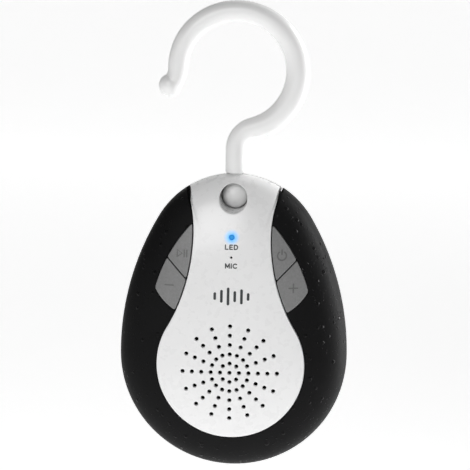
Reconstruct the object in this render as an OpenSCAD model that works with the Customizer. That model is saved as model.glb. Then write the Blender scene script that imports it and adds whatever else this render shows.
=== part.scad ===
// Shower speaker: an egg-shaped sealed housing that hangs from a swivelling hook.
// Frame: origin on the hook's seat, where a rail bears; +Z up, -Y is the front, +X the wearer's right.
// Inside every module below, positions are measured from the body centre, which is the
// centre of the egg's round lower end; hang() moves a finished piece down to its place.

/* [Body] */
// Width of the egg outline, and so twice the radius of its lower end
body_w = 100; // [92:1:110]
// Height of the egg outline
body_h = 130; // [124:1:140]
// Radius of the egg's round top
top_r = 38.75; // [36:0.25:42]
// Depth of the front dome, from the seam to its highest point
front_d = 21; // [20:0.5:25]
// Depth that the back dome would have if it weren't cut flat
back_d = 19; // [18.5:0.5:24]
// Depth of the flat land on the back, from the seam
back_flat = 18; // [17.5:0.5:22]
// Thickness of the housing wall, with the panel's recess
wall = 3.6; // [3.4:0.1:4.2]

/* [White panel] */
// Thickness of the panel and of the rear cap
panel_t = 1.8; // [1.4:0.1:2]
// Radius of the panel's round lower end
panel_r = 32.3; // [30:0.1:34]
// Height of that round end's centre over the body centre
panel_z = -1.9; // [-4:0.1:0]
// Half width of the panel at its waist
waist_w = 16.8; // [15:0.1:18]
// Depth of the waist under the top of the body
waist_drop = 24.8; // [23:0.1:27]
// Radius of the arc that flares out over the waist
flare_r = 52.5; // [45:0.5:60]
// Gap between the panel and the housing
panel_gap = 0.35; // [0.2:0.05:0.5]

/* [Grille and driver] */
// Height of the grille's centre
grille_z = -4.5; // [-6:0.1:-3]
// Radial step from one circle of holes to the next
grille_pitch = 4.12; // [4:0.01:4.2]
// Number of circles of holes round the centre hole
grille_circles = 5; // [3:1:5]
// Diameter of a grille hole
grille_hole_d = 1.8; // [1.2:0.1:2]
// Radius of the driver's flange
driver_r = 25; // [24.5:0.1:26]
// Height of the driver's seat over the seam
seat_y = 13.8; // [13.4:0.1:14.2]
// How far the cone moves each way
cone_travel = 1; // [0.5:0.1:1.2]

/* [Keys] */
// How far a key travels
key_travel = 0.5; // [0.3:0.1:0.6]
// Gap round the keys
key_gap = 0.3; // [0.25:0.05:0.4]
// Width of the slit between an upper and a lower key
key_slit = 0.5; // [0.4:0.05:0.7]
// Radius of the keys' long outer edge
key_side_r = 69.1; // [67:0.1:70]
// Radius of the lower key's bottom edge
key_foot_r = 22.9; // [22:0.1:24]

/* [Hook] */
// Radius inside the ring, which takes the rail
hook_in_r = 21.35; // [16:0.05:24]
// Radius of the rod at the top of the ring
rod_r = 4.55; // [4:0.05:5]
// Radius of the stem over the housing
stem_r = 4.5; // [3.8:0.05:4.8]
// Radius of the pivot that goes into the housing, between the stem and the ball
pivot_r = 2.8; // [2.4:0.05:3]
// Radius of the ball at the tip
tip_r = 5; // [4.5:0.1:6]
// Radius of the ball that the housing hangs on
ball_r = 5.7; // [5.2:0.1:5.8]
// Depth of that ball's centre under the top of the body
ball_drop = 9.3; // [9:0.1:11]
// Length of straight stem over the housing
stem_free = 10.5; // [6:0.5:20]
// Radius of the window that shows the ball
window_r = 6.6; // [6.4:0.1:7]

/* [Fasteners and boards] */
// Radius of the case screws' thread
screw_r = 1.3; // [1:0.05:1.4]
// Radius of the bosses that take the case screws
boss_r = 3.2; // [3:0.1:3.4]
// Thickness of the main board
board_t = 1.6; // [1:0.1:1.6]
// Height of the main board's front face in front of the seam
board_y = 5; // [4.5:0.1:5.5]

/* [Hidden] */

eps = 0.01;                 // overlap of pieces that are fused
far = 60;                   // longer than the housing is deep
around = 64;                // facets round a dome
rings = 9;                  // facets from a dome's apex to its rim
front_power = 2.5;          // how boxy the front dome is; 2 would be an ellipsoid
back_power = 2.8;           // the same for the back dome
run_gap = 0.08;             // radial clearance of a turning fit
slip = 0.1;                 // clearance round a sliding pin

// The egg outline: a round lower end, two long side arcs and a small round top, each tangent to the next.
low_r = body_w / 2;
top_z = body_h - low_r;
top_c = top_z - top_r;      // height of the top arc's centre
side_r = (low_r^2 + top_c^2 - top_r^2) / (2 * (low_r - top_r));
side_x = side_r - low_r;    // the side arcs' centres lie this far across the axis
join_a = atan2(top_c, side_x);

ball_z = top_z - ball_drop;
waist_z = top_z - waist_drop;

// Hook: the ring's centre is under the seat, and a reverse bend brings the rod back to the axis.
ring_z = -hook_in_r;
rod_max_r = rod_r + 0.75;
ring_r = hook_in_r + rod_max_r - 0.25;
bend_r = 9.5;
bend_z = -sqrt((ring_r + bend_r)^2 - bend_r^2);
bend_a = atan2(-bend_z, bend_r);
flare_out_r = 12;
tip_a = 178;
body_z = ring_z + bend_z - stem_free - top_z;

// Panel: the concave side arcs are tangent to the round end.
neck_h = waist_z - panel_z;
neck_r = (waist_w^2 + neck_h^2 - panel_r^2) / (2 * (panel_r - waist_w));
neck_a = atan2(neck_h, waist_w + neck_r);
flare_a = 34;

// Driver, measured in depth from the front of its flange
gasket_t = 0.5;
lip_t = 0.3;
flange_y = -seat_y + gasket_t + lip_t;
flange_t = 1;
window_in_r = driver_r - 3;
coil_r = 6.5;
basket_deep = 8.5;
plate_deep = basket_deep + 0.8;
magnet_deep = plate_deep + 2;
yoke_deep = magnet_deep + 5;
driver_deep = yoke_deep + 2;

// Keys: circle centres of the two outer edges, the split line, and where the posts press
key_side_c = [-33.2, waist_z - 42.2];
key_foot_c = [13.3, waist_z - 12.9];
split_at = [23.85, waist_z - 14.8];
split_a = 46;
post_r = 1.5;
post_upper = [21.8, waist_z - 8.2];
post_lower = [27, waist_z - 22.2];
flange_back = 9.6;          // keys end this far in front of the seam
key_lip = 0.8;
key_lip_t = 0.7;
key_seal_t = 0.8;
key_seal_y = flange_back - key_travel - 0.1;
plunger_top = 8.4;
plunger_r = 1.1;
switch_w = 4.5;
switch_h = 1.6;

led_z = waist_z - 0.6;
mic_z = waist_z - 9.2;
pipe_r = 1.2;
mic_hole_r = 0.55;
mic_r = 2;

case_screw_inset = 8.5;
case_screw_at = concat([[sqrt(top_r^2 - (top_r - 21.8)^2) - 9.8, top_z - 21.8]],
    [for (a = [14, -53]) egg_r(a, case_screw_inset) * [cos(a), sin(a)]]);
screw_seat = 8;
screw_len = 14;
head_r = 2.6;
head_h = 1.6;
plug_t = 1.6;
board_low = max(waist_z - 35.2, grille_z + 24.5);
board_screw_at = [[12, max(waist_z - 28.7, board_low + 3)], [9, waist_z + 3.3]];
board_screw_r = 0.9;
driver_screw_a = [30, 150, 270];
driver_screw_at = driver_r + 2.6;
terminal_z = grille_z + driver_r - 1.5;

battery_size = [40, 5.6, 30];
battery_z = -5;
battery_y = 13;             // back face
charge_size = [22, 1.2, 17];
port_low = waist_z - waist_w - 14.4;
charge_z = port_low + 4.5;
charge_y = 6;
port_w = 17;
pin_z = port_low + 10.1;
pin_y = back_flat - 1.1;
pin_r = 0.5;
knuckle_r = 1;
port_floor = back_flat - 2.4;
flap_gap = 0.4;
socket_z = port_low + 5;
socket_size = [9.2, 8, 3.4];
groove_low = 2.2;           // the gasket's groove, from the outside
groove_high = 3.2;
gasket_h = 1.2;

// ---- outlines -------------------------------------------------------------

function arc(cx, cz, r, from, to, n) =
    [for (i = [0:n]) let (a = from + (to - from) * i / n) [cx + r * cos(a), cz + r * sin(a)]];

function mirrored(points) = [for (i = [len(points) - 1:-1:0]) [-points[i][0], points[i][1]]];

function with_mirror(points) = concat(points, mirrored(points));

// Radius of the egg, set in by d, in the direction t degrees over +X
function egg_join(d) =
    atan2(top_c + (top_r - d) * sin(join_a), (top_r - d) * cos(join_a));

function egg_r(t, d = 0) = let (u = abs(t) > 90 ? 180 - abs(t) : abs(t))
    t <= 0 ? low_r - d
    : u < egg_join(d) ? sqrt((side_r - d)^2 - (side_x * sin(u))^2) - side_x * cos(u)
    : top_c * sin(u) + sqrt((top_r - d)^2 - (top_c * cos(u))^2);

function egg_points(d) =
    [for (i = [0:around - 1]) let (t = i * 360 / around - 180, r = egg_r(t, d)) [r * cos(t), r * sin(t)]];

// Depth of the front dome's surface, set in by d, over the point (x, z)
function front_y(x, z, d = 0) =
    let (q = min(1, norm([x, z]) / egg_r(atan2(z, x), d)))
    (front_d - d) * (1 - q^front_power)^(1 / front_power);

function back_y(x, z, d = 0) =
    let (q = min(1, norm([x, z]) / egg_r(atan2(z, x), d)))
    min(back_flat - d, (back_d - d) * (1 - q^back_power)^(1 / back_power));

// Right half of the panel's outline, grown by g, from the bottom up past the top of the egg
function panel_half(g) = concat(
    arc(0, panel_z, panel_r + g, -90, neck_a, 24),
    [for (p = arc(waist_w + neck_r, waist_z, neck_r - g, 180 + neck_a, 180, 12)) p],
    [for (i = [1:8]) arc(waist_w + flare_r, waist_z, flare_r - g, 180, 180 - flare_a, 8)[i]]);

function cap_half(g) = concat(
    arc(0, waist_z, waist_w + g, -90, 0, 14),
    [for (i = [1:8]) arc(waist_w + flare_r, waist_z, flare_r - g, 180, 180 - flare_a, 8)[i]]);

// ---- building blocks --------------------------------------------------------

module hang() {
    translate([0, 0, body_z]) children();
}

// Extrudes an outline, drawn in X and Z, from y = from to y = to
module prism(from, to) {
    translate([0, to, 0]) rotate([90, 0, 0]) linear_extrude(to - from) children();
}

// Turns a round thing so that its axis is Y and it grows towards the back
module along_y(x, y, z) {
    translate([x, y, z]) rotate([-90, 0, 0]) children();
}

module along_x(x, y, z) {
    translate([x, y, z]) rotate([0, 90, 0]) children();
}

module rod_y(x, z, r, from, to) {
    along_y(x, from, z) cylinder(r = r, h = to - from, $fn = 48);
}

module on_both_sides() {
    children();
    mirror([1, 0, 0]) children();
}

// Half of the egg, from the seam out to its dome, as rings of facets. It grows towards the front.
module half_egg(d, depth, power, flat) {
    function ring_share(k) = sin(90 * k / rings)^(2 / power);
    function ring_depth(k) = min(flat, depth * cos(90 * k / rings)^(2 / power));
    points = concat(
        [[0, -min(flat, depth), 0], [0, 0, 0]],
        [for (k = [1:rings]) for (p = egg_points(d)) [p[0] * ring_share(k), -ring_depth(k), p[1] * ring_share(k)]]);
    function at(k, i) = 2 + (k - 1) * around + i % around;
    faces = concat(
        [for (i = [0:around - 1]) [0, at(1, i + 1), at(1, i)]],
        [for (k = [1:rings - 1]) for (i = [0:around - 1]) each
            [[at(k, i), at(k + 1, i + 1), at(k + 1, i)], [at(k, i), at(k, i + 1), at(k + 1, i + 1)]]],
        [for (i = [0:around - 1]) [1, at(rings, i), at(rings, i + 1)]]);
    polyhedron(points, faces, convexity = 4);
}

module front_half(d = 0) {
    half_egg(d, front_d - d, front_power, front_d);
}

module back_half(d = 0) {
    mirror([0, 1, 0]) half_egg(d, back_d - d, back_power, back_flat - d);
}

module panel_2d(g = 0) {
    polygon(with_mirror(panel_half(g)));
}

module cap_2d(g = 0) {
    polygon(with_mirror(cap_half(g)));
}

module egg_2d(d) {
    polygon(egg_points(d));
}

// The pair of keys on the right, grown by g
module key_pair_2d(g) {
    difference() {
        intersection() {
            translate(key_side_c) circle(r = key_side_r + g, $fn = 180);
            translate(key_foot_c) circle(r = key_foot_r + g, $fn = 120);
        }
        panel_2d(max(panel_gap + key_gap / 2 - g, -2));
    }
}

// One key, grown by g on its outer edges and cut back by s along the slit
module upper_key_2d(g, s = 0) {
    intersection() {
        key_pair_2d(g);
        translate(split_at) rotate(split_a) translate([-far, key_slit / 2 + s]) square([2 * far, far]);
    }
}

module lower_key_2d(g, s = 0) {
    intersection() {
        key_pair_2d(g);
        translate(split_at) rotate(split_a) translate([-far, -far - key_slit / 2 - s]) square([2 * far, far]);
    }
}

// A round tube swept along points; the radius is one number, or one for each point
module swept(points, radii, sides) {
    n = len(points);
    function pick(i) = is_list(radii) ? radii[i] : radii;
    function heading(i) = let (d = points[min(n - 1, i + 1)] - points[max(0, i - 1)]) d / norm(d);
    function ring(i) = let (
        t = heading(i),
        side = abs(t[1]) < 0.9 ? cross(t, [0, 1, 0]) : cross(t, [1, 0, 0]),
        u = side / norm(side),
        v = cross(t, u))
        [for (k = [0:sides - 1]) points[i] + pick(i) * (u * cos(360 * k / sides) + v * sin(360 * k / sides))];
    polyhedron(
        concat([for (i = [0:n - 1]) each ring(i)]),
        concat(
            [[for (k = [0:sides - 1]) k]],
            [for (i = [0:n - 2]) for (k = [0:sides - 1]) let (a = i * sides, b = a + sides, m = (k + 1) % sides)
                each [[a + k, b + k, b + m], [a + k, b + m, a + m]]],
            [[for (k = [sides - 1:-1:0]) (n - 1) * sides + k]]),
        convexity = 6);
}

// ---- hook -------------------------------------------------------------------

// Rod radius by the angle round the ring: slim at the tip, full on the loaded side
function rod_at(a) = lookup(a, [[-80, rod_r - 0.35], [-60, rod_r + 0.45], [-30, rod_max_r], [0, rod_r + 0.65],
    [45, rod_r + 0.3], [90, rod_r], [150, rod_r], [178, rod_r - 0.2]]);

function ring_point(a) = let (r = hook_in_r + rod_at(a)) [r * cos(a), 0, ring_z + r * sin(a)];

bend_from_r = hook_in_r + rod_at(-bend_a);
bend_low = -sqrt((bend_from_r + bend_r)^2 - bend_r^2);
tip_from_r = hook_in_r + rod_at(tip_a);
tip_c = [(tip_from_r + flare_out_r) * cos(tip_a), ring_z + (tip_from_r + flare_out_r) * sin(tip_a)];
tip_end_a = -44;

module hook() {
    tip_path = [for (i = [0:7]) let (a = tip_end_a + (tip_a - 180 - tip_end_a) * i / 8)
        [tip_c[0] + flare_out_r * cos(a), 0, tip_c[1] + flare_out_r * sin(a)]];
    ring_path = [for (i = [0:38]) ring_point(tip_a - (tip_a + bend_a) * i / 38)];
    bend_path = [for (i = [1:8]) let (a = 180 - bend_a + bend_a * i / 8)
        [bend_r + bend_r * cos(a), 0, ring_z + bend_low + bend_r * sin(a)]];
    path = concat(tip_path, ring_path, bend_path);
    tip_radii = [for (i = [0:7]) rod_r - 0.45 + 0.25 * i / 8];
    ring_radii = [for (i = [0:38]) rod_at(tip_a - (tip_a + bend_a) * i / 38)];
    bend_radii = [for (i = [1:8]) let (s = i / 8) rod_at(-bend_a) * (1 - s) + (stem_r - 0.02) * s
        - 0.15 * sin(180 * s)];
    ball = body_z + ball_z;
    shoulder = body_z + top_z + 0.4;
    color("white") {
        swept(path, concat(tip_radii, ring_radii, bend_radii), 20);
        translate(path[0]) sphere(r = tip_r, $fn = 64);
        translate([0, 0, shoulder]) cylinder(r = stem_r, h = ring_z + bend_low + 0.4 - shoulder, $fn = 64);
        translate([0, 0, ball]) cylinder(r = pivot_r, h = shoulder + 1 - ball, $fn = 64);
        translate([0, 0, ball]) sphere(r = ball_r, $fn = 64);
    }
}

bush_r = pivot_r + 1.6;
bush_low = ball_z + ball_r - 1.5;
bush_top = top_z - panel_t - 2.2;
cup_r = ball_r + 1.5;
cup_top = ball_z + ball_r - 1.6;
bush_split = 0.3;

// Removes the ball and the stem, with their running clearance
module bush_bore() {
    difference() {
        children();
        translate([0, 0, ball_z]) cylinder(r = pivot_r + run_gap, h = far, $fn = 64);
        translate([0, 0, ball_z]) sphere(r = ball_r + run_gap, $fn = 64);
    }
}

module bush_front_blank() {
    intersection() {
        translate([0, 0, bush_low]) cylinder(r = bush_r, h = bush_top - bush_low, $fn = 64);
        translate([-far, -pivot_r - 0.7, 0]) cube([2 * far, pivot_r + 0.7 + bush_split, 2 * far]);
    }
}

module bush_rear_blank() {
    intersection() {
        union() {
            translate([0, 0, ball_z - cup_r]) cylinder(r = cup_r, h = cup_top - ball_z + cup_r, $fn = 64);
            translate([0, 0, ball_z]) cylinder(r = bush_r, h = bush_top - ball_z, $fn = 64);
        }
        translate([-far, bush_split, 0]) cube([2 * far, far, 2 * far]);
    }
}

module bush_front() {
    color("gainsboro") hang() bush_bore() bush_front_blank();
}

module bush_rear() {
    color("gainsboro") hang() bush_bore() bush_rear_blank();
}

// The cavity that the two shells leave for the ball, the stem and the bush
module hook_cavity() {
    rod_y(0, ball_z, window_r, -far, bush_split);
    translate([0, 0, ball_z]) cylinder(r = pivot_r + 0.5, h = far, $fn = 64);
    bush_front_blank();
    bush_rear_blank();
}

// The wall round that cavity
module hook_block() {
    translate([0, 0, ball_z - cup_r - 1.6]) cylinder(r = cup_r + 1.6, h = top_z - ball_z + cup_r + 2, $fn = 64);
    rod_y(0, ball_z, window_r + 2, -far, bush_split);
}

// ---- housing ----------------------------------------------------------------

module front_panel() {
    color("white") hang() difference() {
        intersection() {
            front_half();
            prism(-far, 0) panel_2d(0);
        }
        front_half(panel_t);
        rod_y(0, ball_z, window_r, -far, -1);
        translate([0, 0, ball_z]) cylinder(r = pivot_r + 0.5, h = far, $fn = 64);
        rod_y(0, led_z, pipe_r + slip, -far, -1);
        rod_y(0, mic_z, mic_hole_r, -far, -1);
        grille_holes();
    }
}

module grille_holes() {
    rod_y(0, grille_z, grille_hole_d / 2, -far, -10);
    for (k = [1:grille_circles]) {
        count = k == 1 ? 8 : 16;
        for (i = [0:count - 1])
            rod_y(k * grille_pitch * sin(360 * i / count), grille_z + k * grille_pitch * cos(360 * i / count),
                grille_hole_d / 2, -far, -10);
    }
}

module rear_cap() {
    color("white") hang() difference() {
        intersection() {
            back_half();
            prism(0, far) cap_2d(0);
        }
        back_half(panel_t);
        translate([0, 0, ball_z]) cylinder(r = pivot_r + 0.5, h = far, $fn = 64);
    }
}

module front_shell() {
    color("#1d1d1f") hang() difference() {
        union() {
            difference() {
                union() {
                    difference() {
                        front_half();
                        prism(-far, 1) panel_2d(panel_gap);
                    }
                    front_half(panel_t);
                }
                front_half(wall);
            }
            intersection() {
                union() {
                    hook_block();
                    rod_y(0, grille_z, window_in_r + 5.6, -far, -seat_y);
                    for (a = driver_screw_a)
                        rod_y(driver_screw_at * cos(a), grille_z + driver_screw_at * sin(a), 2.4,
                            -far, flange_y + flange_t);
                    on_both_sides() {
                        for (p = case_screw_at) rod_y(p[0], p[1], boss_r, -far, 0);
                        for (p = board_screw_at) rod_y(p[0], p[1], 2.4, -far, -board_y);
                    }
                }
                front_half(panel_t + 0.6);
            }
        }
        rod_y(0, grille_z, window_in_r, -far, -1);
        rod_y(0, grille_z, window_in_r + 1, -far, -mesh_y);
        hook_cavity();
        rod_y(0, led_z, pipe_r + slip, -far, -1);
        rod_y(0, mic_z, mic_hole_r, -far, -1);
        on_both_sides() {
            prism(-far, -1) key_pair_2d(key_gap);
            for (p = case_screw_at) rod_y(p[0], p[1], screw_r - slip, -8.2, 1);
            for (p = board_screw_at) rod_y(p[0], p[1], board_screw_r, -board_y - 5, 0);
        }
        for (a = driver_screw_a)
            rod_y(driver_screw_at * cos(a), grille_z + driver_screw_at * sin(a), board_screw_r,
                flange_y + flange_t - 4, 0);
    }
}

module back_shell() {
    color("#1d1d1f") hang() difference() {
        union() {
            difference() {
                union() {
                    difference() {
                        back_half();
                        prism(-1, far) cap_2d(panel_gap);
                    }
                    back_half(panel_t);
                }
                back_half(wall);
            }
            intersection() {
                union() {
                    hook_block();
                    on_both_sides() {
                        for (p = case_screw_at) rod_y(p[0], p[1], boss_r + 0.8, 0, far);
                        rod_y(charge_size[0] / 2 - 2.5, charge_z + 6, 2, charge_y + charge_size[1], far);
                    }
                    prism(port_floor - 1.4, far)
                        translate([-port_w / 2 - 1.4, port_low - 1.4]) square([port_w + 2.8, pin_z - port_low + 4.1]);
                }
                back_half(panel_t + 0.6);
            }
        }
        hook_cavity();
        difference() {
            prism(-eps, gasket_h) egg_2d(groove_low);
            prism(-1, far) egg_2d(groove_high);
            hook_block();
        }
        on_both_sides() {
            for (p = case_screw_at) {
                rod_y(p[0], p[1], screw_r + 0.2, -1, far);
                rod_y(p[0], p[1], head_r + 0.3, screw_seat, far);
            }
            rod_y(charge_size[0] / 2 - 2.5, charge_z + 6, board_screw_r, charge_y, charge_y + 5);
        }
        prism(port_floor, far)
            translate([-port_w / 2, port_low]) square([port_w, pin_z + knuckle_r + 0.3 - port_low]);
        prism(0, far) translate([-socket_size[0] / 2 - 0.3, socket_z - socket_size[2] / 2 - 0.3])
            square([socket_size[0] + 0.6, socket_size[2] + 0.6]);
        along_x(-port_w / 2 - 1, pin_y, pin_z) cylinder(r = pin_r, h = port_w + 2, $fn = 32);
        along_y(0, back_flat - 1, port_low) cylinder(r1 = 2.5, r2 = 4.5, h = 2, $fn = 48);
    }
}

module case_gasket() {
    color("dimgray") hang() prism(0, gasket_h) difference() {
        egg_2d(groove_low + 0.05);
        egg_2d(groove_high - 0.05);
        translate([-cup_r - 1.7, ball_z - cup_r - 2]) square([2 * cup_r + 3.4, far]);
    }
}

module pan_screw(r, len, head, tall) {
    difference() {
        union() {
            cylinder(r = head, h = tall, $fn = 48);
            translate([0, 0, -len]) cylinder(r = r, h = len + eps, $fn = 48);
        }
        for (a = [0, 90]) rotate(a) translate([-head * 0.6, -0.3, tall * 0.4]) cube([head * 1.2, 0.6, tall]);
    }
}

module case_screws() {
    color("silver") hang() on_both_sides()
        for (p = case_screw_at) along_y(p[0], screw_seat, p[1]) pan_screw(screw_r - slip, screw_len, head_r, head_h);
}

module screw_plugs() {
    color("#1d1d1f") hang() on_both_sides()
        for (p = case_screw_at)
            rod_y(p[0], p[1], head_r + 0.28, screw_seat + head_h, screw_seat + head_h + plug_t);
}

// ---- keys -------------------------------------------------------------------

// A cap whose face follows the dome, hollow behind, with a lip that keeps it in and a post on a switch
module key_cap(post, upper) {
    module face_2d(g, s = 0) {
        if (upper) upper_key_2d(g, s);
        else lower_key_2d(g, s);
    }
    difference() {
        union() {
            intersection() {
                prism(-far, -flange_back) face_2d(0);
                front_half(0.05);
            }
            prism(-flange_back - key_lip_t, -flange_back) face_2d(key_lip);
        }
        prism(-flange_back - 2.6, -1) face_2d(-1.3, 1.3);
    }
    rod_y(post[0], post[1], post_r, -flange_back - 2.7, -plunger_top);
}

module key_power() {
    color("gray") hang() key_cap(post_upper, true);
}

module key_volume_up() {
    color("gray") hang() key_cap(post_lower, false);
}

module key_answer() {
    color("gray") hang() mirror([1, 0, 0]) key_cap(post_upper, true);
}

module key_volume_down() {
    color("gray") hang() mirror([1, 0, 0]) key_cap(post_lower, false);
}

module plunger(post) {
    color("black") hang() rod_y(post[0], post[1], plunger_r, -plunger_top, -board_y - 1);
}

module plunger_power() {
    plunger(post_upper);
}

module plunger_volume_up() {
    plunger(post_lower);
}

module plunger_answer() {
    mirror([1, 0, 0]) plunger(post_upper);
}

module plunger_volume_down() {
    mirror([1, 0, 0]) plunger(post_lower);
}

module key_seal() {
    difference() {
        prism(-key_seal_y, -key_seal_y + key_seal_t) key_pair_2d(1.2);
        for (p = [post_upper, post_lower]) rod_y(p[0], p[1], post_r + slip, -far, 0);
    }
}

module key_seal_right() {
    color("lightgray") hang() key_seal();
}

module key_seal_left() {
    color("lightgray") hang() mirror([1, 0, 0]) key_seal();
}

module tact_switches() {
    color("silver") hang() on_both_sides()
        for (p = [post_upper, post_lower]) difference() {
            translate([p[0] - switch_w / 2, -board_y - switch_h, p[1] - switch_w / 2])
                cube([switch_w, switch_h, switch_w]);
            rod_y(p[0], p[1], plunger_r + slip, -far, -board_y - 1 + key_travel + slip);
        }
}

// ---- main board ---------------------------------------------------------------

module main_board() {
    outline = with_mirror([[12, board_low], [30.5, waist_z - 29.2], [30.5, waist_z - 14.2], [21, waist_z - 0.2],
        [11.8, waist_z + 6.3]]);
    color("darkgreen") hang() difference() {
        prism(-board_y, -board_y + board_t) polygon(outline);
        on_both_sides() for (p = board_screw_at) rod_y(p[0], p[1], board_screw_r + slip, -far, far);
    }
}

module board_screws() {
    color("silver") hang() on_both_sides()
        for (p = board_screw_at) along_y(p[0], -board_y + board_t, p[1]) pan_screw(board_screw_r - 0.05, 5.5, 1.9, 1.2);
}

module radio_module() {
    color("silver") hang() translate([-7, -board_y + board_t, waist_z - 17.2]) cube([14, 2, 16]);
}

module amplifier_chip() {
    color("#222222") hang() translate([14, -board_y + board_t, waist_z - 26.2]) cube([6, 1.4, 5]);
}

// Coils, capacitors and the lead connectors on the back of the main board
module board_parts() {
    back = -board_y + board_t;
    color("darkgoldenrod") hang() {
        translate([-25, back, waist_z - 25.2]) cube([5, 2.2, 5]);
        for (x = [-18, -14]) rod_y(x, waist_z - 21.2, 1.5, back, back + 3.4);
        for (x = [12, 15, 18, 21]) translate([x, back, waist_z - 13.2]) cube([1.6, 0.8, 0.9]);
        for (x = [-5.5, 2]) translate([x, back, board_low + 2]) cube([5, 3, 4]);
    }
}

module status_led() {
    color("lightblue") hang() translate([-1, -board_y - 0.8, led_z - 0.6]) cube([2, 0.8, 1.2]);
}

module light_pipe() {
    tip = front_y(0, led_z) - 0.25;
    color("skyblue") hang() {
        rod_y(0, led_z, pipe_r, -tip, -board_y - 0.85);
        rod_y(0, led_z, pipe_r + 1, -front_y(0, led_z + 2.2, wall) + 0.3, -front_y(0, led_z + 2.2, wall) + 1.5);
    }
}

module microphone() {
    color("silver") hang() rod_y(0, mic_z, mic_r, -board_y - 1.5, -board_y);
}

module microphone_boot() {
    color("#333333") hang() difference() {
        rod_y(0, mic_z, mic_r + 1.2, -front_y(0, mic_z + 3.2, wall) + 0.2, -board_y);
        rod_y(0, mic_z, mic_hole_r + 0.25, -far, 0);
        rod_y(0, mic_z, mic_r, -board_y - 1.5, 0);
    }
}

// ---- driver -------------------------------------------------------------------

mesh_y = front_y(0, grille_z - window_in_r - 1, panel_t) - 0.7;
mesh_t = 0.3;

module acoustic_mesh() {
    color("black") hang() rod_y(0, grille_z, window_in_r + 0.9, -mesh_y - mesh_t, -mesh_y);
}

module driver_gasket() {
    color("dimgray") hang() along_y(0, -seat_y, grille_z) difference() {
        cylinder(r = driver_r, h = gasket_t, $fn = 96);
        translate([0, 0, -1]) cylinder(r = window_in_r + 0.2, h = 3, $fn = 96);
    }
}

// Revolves an outline of [radius, depth behind the flange's front] about the driver's axis
module driver_part() {
    hang() along_y(0, flange_y, grille_z) rotate_extrude($fn = 96) children();
}

module driver_basket() {
    wall_t = 0.8;
    slope_top = driver_r - 1.6;
    slope_low = 15.6;
    color("#2b2b2b") difference() {
        driver_part() polygon([[window_in_r + 0.4, 0], [driver_r, 0], [driver_r, flange_t],
            [slope_top, flange_t], [slope_low, basket_deep], [slope_low, plate_deep],
            [coil_r + 1.4, plate_deep], [coil_r + 1.4, basket_deep], [slope_low - wall_t, basket_deep],
            [slope_top - wall_t - 0.2, flange_t]]);
        hang() for (a = [0:90:270]) translate([0, flange_y, grille_z]) rotate([0, a, 0])
            translate([10, 2.6, -5]) cube([20, 4.6, 10]);
    }
}

module driver_top_plate() {
    color("silver") driver_part() translate([coil_r + 1.1, plate_deep]) square([7, magnet_deep - plate_deep]);
}

module driver_magnet() {
    color("#3a3a3a") driver_part() translate([9, magnet_deep]) square([6.5, yoke_deep - magnet_deep]);
}

module driver_yoke() {
    color("silver") driver_part() polygon([[0, plate_deep], [coil_r - 0.4, plate_deep],
        [coil_r - 0.4, yoke_deep], [15, yoke_deep], [15, driver_deep], [0, driver_deep]]);
}

module driver_terminals() {
    color("tan") hang() translate([-4, flange_y + flange_t, terminal_z]) cube([8, 4, 1.2]);
}

module driver_screws() {
    color("silver") hang()
        for (a = driver_screw_a)
            along_y(driver_screw_at * cos(a), flange_y + flange_t, grille_z + driver_screw_at * sin(a))
                pan_screw(board_screw_r - 0.05, 3.5, 3, 1.2);
}

roll_r = 1.6;
roll_at = window_in_r - 2.1;
cone_r = roll_at - roll_r - 0.1;

module surround() {
    n = 12;
    outer = [for (i = [0:n]) let (a = 180 * i / n) [roll_at - roll_r * cos(a), -roll_r * sin(a)]];
    inner = [for (i = [n:-1:0]) let (a = 180 * i / n) [roll_at - (roll_r - 0.3) * cos(a), -(roll_r - 0.3) * sin(a)]];
    color("#222222") {
        driver_part() polygon(concat(outer, inner));
        driver_part() translate([roll_at + roll_r - 0.31, -lip_t]) square([driver_r - 1 - roll_at - roll_r, lip_t]);
        driver_part() translate([cone_r - 0.5, -lip_t]) square([0.65, lip_t]);
    }
}

module cone() {
    color("#303034") driver_part() polygon([[cone_r, 0], [cone_r, 0.4], [coil_r + 0.6, 6], [coil_r + 0.22, 6],
        [coil_r + 0.22, 5.5], [cone_r - 0.6, 0]]);
}

module dust_cap() {
    n = 8;
    cap_r = 7.6;
    rise = 2.4;
    function bow(i) = cap_r * sin(90 * i / n);
    function lift(i) = 4.7 - rise * cos(90 * i / n);
    color("#1b1b1d") driver_part() polygon(concat(
        [for (i = [0:n]) [bow(i), lift(i)]],
        [for (i = [n:-1:0]) [max(0, bow(i) - 0.3 * i / n), lift(i) + 0.3]]));
}

module voice_coil() {
    color("peru") {
        driver_part() translate([coil_r, 5.2]) square([0.2, plate_deep - 2]);
        driver_part() translate([coil_r + 0.2 - eps, plate_deep - 0.6]) square([0.5, 3.2]);
    }
}

module spider() {
    n = 5;
    low = coil_r + 0.22;
    high = 15.3;
    top = [for (i = [0:2 * n]) [low + (high - low) * i / (2 * n), 7.25 + 0.35 * (i % 2)]];
    color("goldenrod") driver_part() polygon(concat(top, [for (i = [2 * n:-1:0]) [top[i][0], top[i][1] + 0.3]]));
}

// ---- power --------------------------------------------------------------------

module battery() {
    color("silver") hang() translate([0, battery_y, battery_z]) rotate([90, 0, 0]) linear_extrude(battery_size[1])
        polygon([for (q = [[1, 1, 0], [-1, 1, 90], [-1, -1, 180], [1, -1, 270]])
            each arc(q[0] * (battery_size[0] / 2 - 2), q[1] * (battery_size[2] / 2 - 2), 2, q[2], q[2] + 90, 4)]);
}

module battery_pad() {
    color("black") hang() translate([-14, battery_y, battery_z - 9]) cube([28, back_flat - wall - battery_y, 18]);
}

module charge_board() {
    color("darkgreen") hang() difference() {
        translate([-charge_size[0] / 2, charge_y, charge_z - charge_size[2] / 2]) cube(charge_size);
        on_both_sides() rod_y(charge_size[0] / 2 - 2.5, charge_z + 6, board_screw_r + slip, 0, far);
    }
}

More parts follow.
